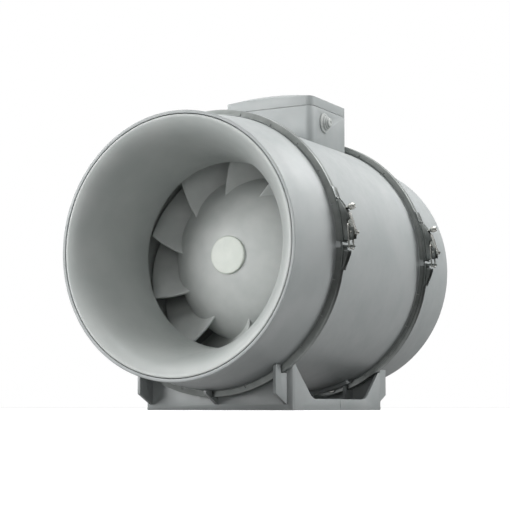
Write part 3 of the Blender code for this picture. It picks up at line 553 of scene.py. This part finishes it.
def archBlock():
    # a tall block whose upper face is the crown, to be met with the lid's outline
    bm = bmesh.new()
    grid = bmesh.ops.create_grid(bm, x_segments=48, y_segments=96, size=0.5)
    faces = {face for vert in grid["verts"] for face in vert.link_faces}
    for vert in grid["verts"]:
        x, y = vert.co.x * (boxX + 4) * 2, boxY[0] - 4 + (vert.co.y + 0.5) * (boxY[1] - boxY[0] + 8)
        inX, inY = max(-boxX, min(boxX, x)), max(boxY[0], min(boxY[1], y))
        vert.co = Vector((x, y, crownHeight(inX, inY)))
    low = bmesh.ops.extrude_face_region(bm, geom=list(faces), use_keep_orig=True)
    lowVerts = [item for item in low["geom"] if isinstance(item, bmesh.types.BMVert)]
    for vert in lowVerts:
        vert.co.z = lid["low"] - 6
    bmesh.ops.recalc_face_normals(bm, faces=bm.faces)
    return bm


terminalLid = rawObject("terminalBoxLid", slab(tubOuter, "Z", lid["low"], boxHigh[2] + 5))
carve(terminalLid, "INTERSECT", [archBlock()])
carve(terminalLid, "DIFFERENCE", [slab(tubInner, "Z", lid["low"] - 5, lid["side"] - 3)])
soften(terminalLid, lid["edge"], 4, 50)
wells = [bar((x, y, lid["seat"]), (x, y, lid["seat"] + 20), lid["well"], 40) for x, y in postSpots]
bores = [bar((x, y, lid["seat"] - 8), (x, y, lid["seat"] + 2), 2.2, 24) for x, y in postSpots]
carve(terminalLid, "DIFFERENCE", wells + bores)
place(terminalLid, shellPlastic, "fan_body", "casing_plastic", "terminal_box_lid")

screwShape = {"headSteps": 40, "crossWidth": 0.9, "crossReach": 2.2, "crossDepth": 1.2}


def panScrew(name, node, seat, direction, headRadius, headHeight, shankRadius, length):
    direction = Vector(direction).normalized()
    side = direction.orthogonal()
    outline = [(0, -headHeight), (headRadius * 0.55, -headHeight), (headRadius * 0.9, -headHeight * 0.75),
               (headRadius, -headHeight * 0.35), (headRadius, 0), (shankRadius, 0), (shankRadius, length),
               (0, length)]
    screw = rawObject(name, lathe(filleted(outline, 0.5), screwShape["headSteps"], centre=seat, axis=direction,
                                  side=side))
    turn = direction.to_track_quat("Z", "Y").to_matrix().to_4x4()
    cross = []
    for size in ((screwShape["crossReach"] * 2, screwShape["crossWidth"]),
                 (screwShape["crossWidth"], screwShape["crossReach"] * 2)):
        bm = bmesh.new()
        spread = Matrix.Diagonal((*size, screwShape["crossDepth"] * 2, 1))
        bmesh.ops.create_cube(bm, size=1.0, matrix=Matrix.Translation(Vector(seat) - direction * headHeight) @ turn
                              @ spread)
        cross.append(bm)
    carve(screw, "DIFFERENCE", cross)
    return place(screw, latchSteel, "fan_body", "bright_steel", node)


for number, (x, y) in enumerate(postSpots, start=1):
    panScrew(f"lidScrew{number}", f"lid_screw_{number}", (x, y, lid["seat"] + 0.3), (0, 0, -1), 3.8, 2.0, 1.7, 26.0)

grommetOutline = [(0.0, -5.0), (5.4, -5.0), (8.2, -3.8), (8.2, 0.3), (13.0, 0.3), (12.6, 1.9), (9.7, 2.5),
                  (9.5, 2.1), (9.1, 4.5), (8.1, 4.9), (7.9, 4.5), (7.5, 6.7), (6.5, 7.1), (6.3, 6.7), (5.9, 8.9),
                  (4.6, 9.4), (2.0, 9.4), (1.6, 8.6), (0.0, 8.6)]
cableGrommet = rawObject("cableGrommet", lathe(filleted(grommetOutline, 0.5), 72, centre=(boxX, grommetY, grommetZ),
                                               axis=(1, 0, 0), side=(0, 1, 0)))
place(cableGrommet, grommetRubber, "fan_body", "grommet_rubber", "cable_grommet")
print("terminal box ready")


base = {"x": 100.7, "end": 125.0, "wall": 3.5, "corner": 7.0, "finX": 91.7, "finThick": 3.6, "finEnd": 153.0,
        "splitGap": 0.5, "sill": 13.5, "floor": 3.5, "spine": 14.0, "tongue": 10.0, "cradleNear": 88.0,
        "cradleFar": 103.0, "cradleAngle": 24.0, "cradleThick": 4.0, "ribNear": 96.0, "ribX": (58.0, 61.0),
        "railX": 84.0, "floorNear": 92.0, "rebate": 3.0, "screwAngle": 15.0}


def makeBaseHalf(name, node, side, joint):
    def near(first, last):
        return sorted((side * first, side * last))

    x, end, wall = base["x"], base["end"], base["wall"]
    casingStop, spigotStop = joint - side * 6.9, joint + side * 6.9
    room = lathe([(0, -side * 20), (162.5, -side * 20), (162.5, casingStop), (171.3, casingStop),
                  (171.3, spigotStop), (163.2, spigotStop), (163.2, side * 170), (0, side * 170)], 192)
    tray = slab(roundedRectangle((-x, x), (-end, end), base["corner"]), "Z", 0, 75)
    half = rawObject(name, tray)
    slope = [(66.0, base["sill"])]
    for angle in spaced(-90, -50, 7):
        slope.append((66.0 + 22.0 * cos(radians(angle)), base["sill"] + 22.0 * (1 + sin(radians(angle)))))
    windowYz = [(side * y, z) for y, z in slope + [(115.5, 50.0), (122.8, 58.0), (122.8, 90.0), (-140.0, 90.0),
                                                   (-140.0, base["sill"])]]
    hollow = slab(roundedRectangle((-x + wall, x - wall), (-end + wall, end - wall), base["corner"] - wall), "Z",
                  -5, 80)
    carve(half, "DIFFERENCE", [hollow, slab(windowYz, "X", -x - 10, x + 10),
                               cuboid((-x - 10, x + 10), near(base["splitGap"], -end - 10), (-10, 90)),
                               cuboid((-x - 5, x + 5), near(end - 1.6, end + 5), (-2, base["rebate"]))])
    inner = end - wall + 1
    strips = [cuboid(sorted((flip * base["railX"], flip * (x - 1))), near(0.15, inner), (0, base["floor"]))
              for flip in (-1, 1)]
    spineStart = -base["tongue"] if side < 0 else 0.15
    spine = cuboid((-base["spine"], base["spine"]), near(spineStart, inner), (0, base["floor"]))
    floor = cuboid((-x + 1, x - 1), near(base["floorNear"], inner), (0, base["floor"]))
    ribs = [cuboid(sorted(flip * rib for rib in base["ribX"]), near(base["ribNear"], inner), (0, 60))
            for flip in (-1, 1)]
    finYz = [(side * y, z) for y, z in ((end - 1, 7.3), (end + 2, 7.3), (base["finEnd"], 19.6),
                                        (base["finEnd"], 75.0), (end - 1, 75.0))]
    fins = [slab(finYz, "X", place - base["finThick"] / 2, place + base["finThick"] / 2)
            for place in (-base["finX"], 0.0, base["finX"])]
    carve(half, "UNION", strips + [spine, floor] + ribs + fins)
    low, high = 162.5, 162.5 + base["cradleThick"]
    cradleY = near(base["cradleNear"], base["cradleFar"])
    cradle = lathe([(low, cradleY[0]), (high, cradleY[0]), (high, cradleY[1]), (low, cradleY[1])], 24,
                   270 - base["cradleAngle"], 2 * base["cradleAngle"])
    bolts = [bar((place, side * 107.0, -5), (place, side * 107.0, 8), 4.0, 40) for place in (-74.0, 74.0)]
    screwY = side * (base["cradleNear"] + base["cradleFar"]) / 2
    radial = [bar(polar(150, angle, screwY), polar(175, angle, screwY), 2.6, 24)
              for angle in (270 - base["screwAngle"], 270 + base["screwAngle"])]
    carve(half, "DIFFERENCE", [room])
    carve(half, "UNION", [cradle])
    carve(half, "DIFFERENCE", bolts + radial)
    if side > 0:
        carve(half, "DIFFERENCE", [cuboid((-base["spine"] - 0.3, base["spine"] + 0.3), (-5, base["tongue"] + 0.3),
                                          (-5, 5))])
    soften(half, 0.8, 2)
    return place(half, shellPlastic, "fan_body", "casing_plastic", node)


def placeBases():
    makeBaseHalf("baseInletHalf", "inlet_foot", -1, clampY["front"])
    makeBaseHalf("baseOutletHalf", "outlet_foot", 1, clampY["rear"])
    number = 0
    for side in (-1, 1):
        for angle in (270 - base["screwAngle"], 270 + base["screwAngle"]):
            number += 1
            y = side * (base["cradleNear"] + base["cradleFar"]) / 2
            seat = polar(167.2, angle, y)
            panScrew(f"footScrew{number}", f"foot_screw_{number}", seat, Vector((0, y, axisZ)) - seat, 4.8, 2.6, 2.2,
                     8.2)


placeBases()
print("base ready")


band = {"foot": 163.7, "top": 170.5, "half": 6.2, "topHalf": 3.9, "thick": 1.25, "endUp": 1.5, "endLow": -1.2,
        "slots": 24, "slotTop": 166.8, "slotWidth": 1.1, "slotPhase": -13.9}


def makeBand(where):
    y = clampY[where]
    outline = [(band["foot"], y - band["half"]), (band["top"], y - band["topHalf"]),
               (band["top"], y + band["topHalf"]), (band["foot"], y + band["half"]), (band["foot"], y + 5.0),
               (band["top"] - band["thick"], y + 3.2), (band["top"] - band["thick"], y - 3.2),
               (band["foot"], y - 5.0)]
    strip = rawObject(f"clampBand{where.title()}", lathe(filleted(outline, 0.9, 4), 180, band["endUp"],
                                                         360 - band["endUp"] + band["endLow"]))
    slots = bmesh.new()
    for number in range(band["slots"]):
        angle = band["slotPhase"] - 360 * number / band["slots"]
        middle = polar((band["slotTop"] + 158) / 2, angle, y)
        turn = Matrix.Rotation(radians(-angle), 4, "Y")
        size = Matrix.Diagonal((band["slotTop"] - 158, 16, band["slotWidth"], 1))
        bmesh.ops.create_cube(slots, size=1.0, matrix=Matrix.Translation(middle) @ turn @ size)
    carve(strip, "DIFFERENCE", [slots])
    return place(strip, bandSteel, "fan_body", "band_steel", f"clamp_band_{where}")


latch = {
    "plate": 170.8, "thick": 1.4, "half": 6.2, "baseAngles": (0.8, 22.8), "keeperAngles": (-9.6, -0.2),
    "wall": (3.2, 4.4), "pivot": (181.6, 4.2), "bail": (179.4, 7.2), "hook": (180.0, -1.6), "roll": (186.6, 4.0),
    "rollRadius": 2.4, "leverHalf": 2.9, "cheek": 1.0, "pin": 1.6, "pinHalf": 4.7, "wire": 0.95, "bailHalf": 5.9,
    "lock": 13.4, "lockStem": 1.8, "knurls": 18,
}
latchShapes = {  # (radius, angle) outlines, extruded across the band
    "baseWall": [(171.6, 1.4), (184.4, 1.9), (185.2, 4.2), (184.6, 6.0), (178.0, 6.6), (178.0, 8.9), (181.6, 9.0),
                 (180.4, 12.0), (176.5, 15.5), (172.6, 18.5), (171.6, 18.5), (171.6, 14.2), (171.6, 10.0),
                 (171.6, 5.7)],
    "keeperWall": [(171.2, -9.4), (172.9, -8.6), (175.4, -6.2), (177.6, -3.6), (178.2, -2.2), (171.2, -2.2)],
    "hook": [(171.2, -1.0), (183.0, -1.0), (183.0, -0.4), (171.2, -0.4)],
    "leverStrip": [(182.0, 11.6), (183.6, 9.0), (184.9, 6.4), (186.4, 4.9), (184.6, 4.2), (183.4, 6.4), (182.1, 9.0),
                   (180.5, 11.6)],
    "leverCheek": [(179.0, 2.6), (184.6, 2.9), (185.6, 4.8), (184.2, 6.4), (182.4, 9.6), (180.2, 8.9), (177.5, 8.3),
                   (177.5, 6.1), (179.0, 4.2)],
}


def latchFoot(name, angles, y):
    low, high, half = latch["plate"], latch["plate"] + latch["thick"], latch["half"]
    outline = [(low, y - half), (high, y - half), (high, y + half), (low, y + half)]
    return rawObject(name, lathe(outline, 24, angles[0], angles[1] - angles[0]))


def upright(shape, low, high, curve=0.8):
    spots = [polar(*place, 0) for place in latchShapes[shape]]
    outline = filleted([(spot.x, spot.z) for spot in spots], curve, 4)
    return slab([(point.x, point.y) for point in outline], "Y", low, high)


def uprightPair(shape, y, inner, outer):
    return [upright(shape, *sorted((y + side * inner, y + side * outer))) for side in (-1, 1)]


def acrossBar(spot, y, half, radius):
    return bar(polar(*spot, y - half), polar(*spot, y + half), radius, 32)


def makeLatch(where):
    y = clampY[where]
    title = where.title()
    high = latch["plate"] + latch["thick"]
    pinHole = (latch["pivot"], y, 12, latch["pin"] + 0.2)

    plate = latchFoot(f"latchBase{title}", latch["baseAngles"], y)
    carve(plate, "UNION", uprightPair("baseWall", y, *latch["wall"]))
    crease = lathe([(high - 0.5, y - 9), (high + 3, y - 9), (high + 3, y + 9), (high - 0.5, y + 9)], 2, 17.2, 0.35)
    carve(plate, "DIFFERENCE", [acrossBar(*pinHole), crease,
                                bar(polar(165, latch["lock"], y), polar(176, latch["lock"], y), 2.1)])
    soften(plate, 0.3, 2)
    place(plate, bandSteel, "fan_body", "band_steel", f"latch_base_{where}")

    keeper = latchFoot(f"latchKeeper{title}", latch["keeperAngles"], y)
    hook = upright("hook", y - latch["wall"][1], y + latch["wall"][1], 0.4)
    carve(keeper, "UNION", [hook] + uprightPair("keeperWall", y, *latch["wall"]))
    soften(keeper, 0.3, 2)
    place(keeper, bandSteel, "fan_body", "band_steel", f"latch_keeper_{where}")

    half = latch["leverHalf"]
    lever = rawObject(f"latchLever{title}", upright("leverStrip", y - half, y + half, 0.5))
    carve(lever, "UNION", uprightPair("leverCheek", y, half - latch["cheek"], half)
          + [acrossBar(latch["roll"], y, half, latch["rollRadius"])])
    carve(lever, "DIFFERENCE", [acrossBar(*pinHole), acrossBar(latch["bail"], y, 12, latch["wire"] + 0.2)])
    soften(lever, 0.3, 2)
    place(lever, latchSteel, f"latch_lever_{where}", "bright_steel", f"latch_lever_{where}")

    pin = rawObject(f"latchPin{title}", acrossBar(latch["pivot"], y, latch["pinHalf"], latch["pin"]))
    soften(pin, 0.4, 2)
    place(pin, latchSteel, "fan_body", "bright_steel", f"latch_pin_{where}")

    # the lock screw: a thin stem with a knurled ball head
    outward = polar(1, latch["lock"], 0) - Vector((0, 0, axisZ))
    studOutline = [(0, 0), (latch["lockStem"], 0), (latch["lockStem"], 10.9), (3.4, 11.3), (4.0, 12.2), (4.0, 16.0),
                   (3.3, 17.6), (2.2, 18.4), (1.4, 18.4), (1.2, 17.6), (0, 17.6)]
    stud = rawObject(f"latchLock{title}", lathe(filleted(studOutline, 0.6), 48,
                                                centre=polar(high - 1.0, latch["lock"], y), axis=outward,
                                                side=(0, 1, 0)))
    grooves = bmesh.new()
    turn = outward.to_track_quat("Z", "Y").to_matrix().to_4x4()
    seat = Matrix.Translation(polar(high + 13.1, latch["lock"], y))
    for number in range(latch["knurls"]):
        spin = Matrix.Rotation(radians(360 * number / latch["knurls"]), 4, outward) @ Matrix.Translation((0, 4.1, 0))
        bmesh.ops.create_cone(grooves, cap_ends=True, segments=6, radius1=0.42, radius2=0.42, depth=3.0,
                              matrix=seat @ spin @ turn)
    carve(stud, "DIFFERENCE", [grooves])
    place(stud, latchSteel, "fan_body", "bright_steel", f"latch_lock_screw_{where}")
    makeBail(f"latchBail{title}", where, y)


def makeBail(name, where, y):
    # a closed wire loop with round corners
    top, low = polar(*latch["bail"], y), polar(*latch["hook"], y)
    run = (low - top).normalized()
    side = Vector((0, 1, 0))
    corner = 1.8
    path = []
    for centre, inward, order in ((top, run, (-1, 1)), (low, -run, (1, -1))):
        for flip in order:
            edge = centre + side * flip * latch["bailHalf"]
            hub = edge - side * flip * corner + inward * corner
            ends = (-inward, side * flip) if flip == order[1] else (side * flip, -inward)
            for share in spaced(0, 1, 7):
                angle = pi / 2 * share
                path.append(hub + (ends[0] * cos(angle) + ends[1] * sin(angle)) * corner)
    curve = bpy.data.curves.new(name, "CURVE")
    curve.dimensions = "3D"
    curve.bevel_depth = latch["wire"] * mm
    curve.bevel_resolution = 4
    spline = curve.splines.new("POLY")
    spline.points.add(len(path) - 1)
    for point, spot in zip(spline.points, path):
        point.co = (*(spot * mm), 1.0)
    spline.use_cyclic_u = True
    shape = bpy.data.objects.new("wireShape", curve)
    bpy.context.scene.collection.objects.link(shape)
    bpy.context.view_layer.update()
    mesh = bpy.data.meshes.new_from_object(shape.evaluated_get(bpy.context.evaluated_depsgraph_get()))
    bpy.data.objects.remove(shape)
    wire = bpy.data.objects.new(name, mesh)
    bpy.context.scene.collection.objects.link(wire)
    place(wire, latchSteel, f"latch_bail_{where}", "bright_steel", f"latch_bail_{where}")


for where in clampY:
    makeBand(where)
    makeLatch(where)
print("clamps and latches ready")


keptFinishes = {
    motorSteel: ["motor_rotor", "motor_shaft", "bearing_front", "bearing_rear"],
    windingVarnish: ["motor_stator"],
    castAlloy: ["motor_flange"],
    sealRubber: ["clamp_seal_front", "clamp_seal_rear", "lid_gasket"],
    terminalResin: ["terminal_block"],
    capacitorCan: ["run_capacitor"],
    latchSteel: [f"impeller_screw_{n}" for n in (1, 2, 3)] + [f"motor_screw_{n}" for n in (1, 2, 3)],
}
for finishMaterial, names in keptFinishes.items():
    for name in names:
        nodes[name].data.materials.clear()
        nodes[name].data.materials.append(finishMaterial)
print("kept nodes finished")


def stageMaterial(name, colour, roughness):
    made = bpy.data.materials.new(name)
    made.use_nodes = True
    shader = made.node_tree.nodes["Principled BSDF"]
    shader.inputs["Base Color"].default_value = linear(colour)
    shader.inputs["Roughness"].default_value = roughness
    return made


floorMesh = bmesh.new()
bmesh.ops.create_grid(floorMesh, x_segments=1, y_segments=1, size=8000)
floorPlane = rawObject("studioFloor", floorMesh)
paleFloor = stageMaterial("paleFloor", "#F2F2F2", 0.9)
paleFloor.node_tree.nodes["Principled BSDF"].inputs["Emission Color"].default_value = linear("#FFFFFF")
paleFloor.node_tree.nodes["Principled BSDF"].inputs["Emission Strength"].default_value = 0.6
floorPlane.data.materials.append(paleFloor)
floorPlane.visible_diffuse = False  # keeps the pale floor from filling in the shaded underside
floorPlane.visible_glossy = False

# the patch of floor under the base lies in its shadow, so it sends no light back up into the base
shadeMesh = bmesh.new()
bmesh.ops.create_grid(shadeMesh, x_segments=1, y_segments=1, size=1, matrix=Matrix.Diagonal((150, 165, 1, 1)))
bmesh.ops.translate(shadeMesh, verts=shadeMesh.verts, vec=(0, 0, -1))
shadePatch = rawObject("shadedFloor", shadeMesh)
shadePatch.data.materials.append(stageMaterial("shadedFloor", "#3A3C3B", 0.9))
shadePatch.visible_camera = False
shadePatch.visible_glossy = False

softLights = {  # azimuth round the object from its inlet towards +X, elevation, and watts
    "rightBack": (115, 20, 45), "leftLow": (-40, 12, 44), "left": (-95, 30, 38), "backRight": (140, 45, 28),
    "top": (0, 88, 24), "frontTop": (0, 45, 15), "cameraLow": (20, 3, 8), "leftTop": (-60, 50, 7),
    "rightTop": (75, 50, 5),
}
lightDistance, lightSize = 2.6, 1.4
for name, (azimuth, elevation, watts) in softLights.items():
    turn, rise = radians(azimuth), radians(elevation)
    away = Vector((sin(turn) * cos(rise), -cos(turn) * cos(rise), sin(rise)))
    lamp = bpy.data.lights.new(name, "AREA")
    lamp.shape = "DISK"
    lamp.size = lightSize
    lamp.energy = watts
    holder = bpy.data.objects.new(name, lamp)
    holder.location = Vector((0, 0, 0.2)) + away * lightDistance
    holder.rotation_euler = (-away).to_track_quat("-Z", "Y").to_euler()
    holder.visible_camera = False
    holder.visible_glossy = name not in ("cameraLow", "frontTop", "rightBack")  # no glare on the clamps
    bpy.context.scene.collection.objects.link(holder)

# plain white to look at, a dim fill on matt surfaces, and for the metal a bright ceiling, dark walls and pale floor
surround = {"above": 0.10, "below": 0.36, "glossSide": 0.08, "glossHigh": 1.10, "glossFloor": 0.50}
world = bpy.data.worlds.new("studio")
world.use_nodes = True
tree = world.node_tree
height = addNode(tree, "SeparateXYZ", None, Vector=addNode(tree, "TexCoord").outputs["Generated"]).outputs["Z"]
fill = addNode(tree, "MapRange", {"From Min": 0.02, "From Max": -0.02, "To Min": surround["above"],
                                  "To Max": surround["below"]}, Value=height).outputs["Result"]
ceiling = addNode(tree, "MapRange", {"From Min": 0.1, "From Max": 0.7, "To Min": surround["glossSide"],
                                     "To Max": surround["glossHigh"]}, Value=height).outputs["Result"]
ground = addNode(tree, "MapRange", {"From Min": -0.22, "From Max": -0.42, "To Min": 0.0,
                                    "To Max": surround["glossFloor"]}, Value=height).outputs["Result"]
gloss = addNode(tree, "Math", {"operation": "ADD"}, at_0=ceiling, at_1=ground).outputs["Value"]
rays = addNode(tree, "LightPath").outputs
lit = addNode(tree, "Mix", None, Factor=rays["Is Glossy Ray"], A=fill, B=gloss).outputs["Result"]
strength = addNode(tree, "Math", {"operation": "MAXIMUM"}, at_0=lit, at_1=rays["Is Camera Ray"]).outputs["Value"]
tree.links.new(strength, tree.nodes["Background"].inputs["Strength"])
tree.nodes["Background"].inputs["Color"].default_value = (1, 1, 1, 1)
bpy.context.scene.world = world
bpy.context.scene.view_settings.view_transform = "Standard"

camera = {"azimuth": 28.98, "elevation": -6.02, "distance": 1.8394, "target": (-0.01816, 0.0, 0.19646),
          "lens": 102.03}
turn, rise = radians(camera["azimuth"]), radians(camera["elevation"])
back = Vector((sin(turn) * cos(rise), -cos(turn) * cos(rise), sin(rise)))
lens = bpy.data.cameras.new("camera")
lens.lens = camera["lens"]
lens.sensor_width = 36.0
lens.clip_start = 0.02
eye = bpy.data.objects.new("camera", lens)
eye.location = Vector(camera["target"]) + back * camera["distance"]
eye.rotation_euler = (-back).to_track_quat("-Z", "Y").to_euler()
bpy.context.scene.collection.objects.link(eye)
bpy.context.scene.camera = eye
print("stage ready")
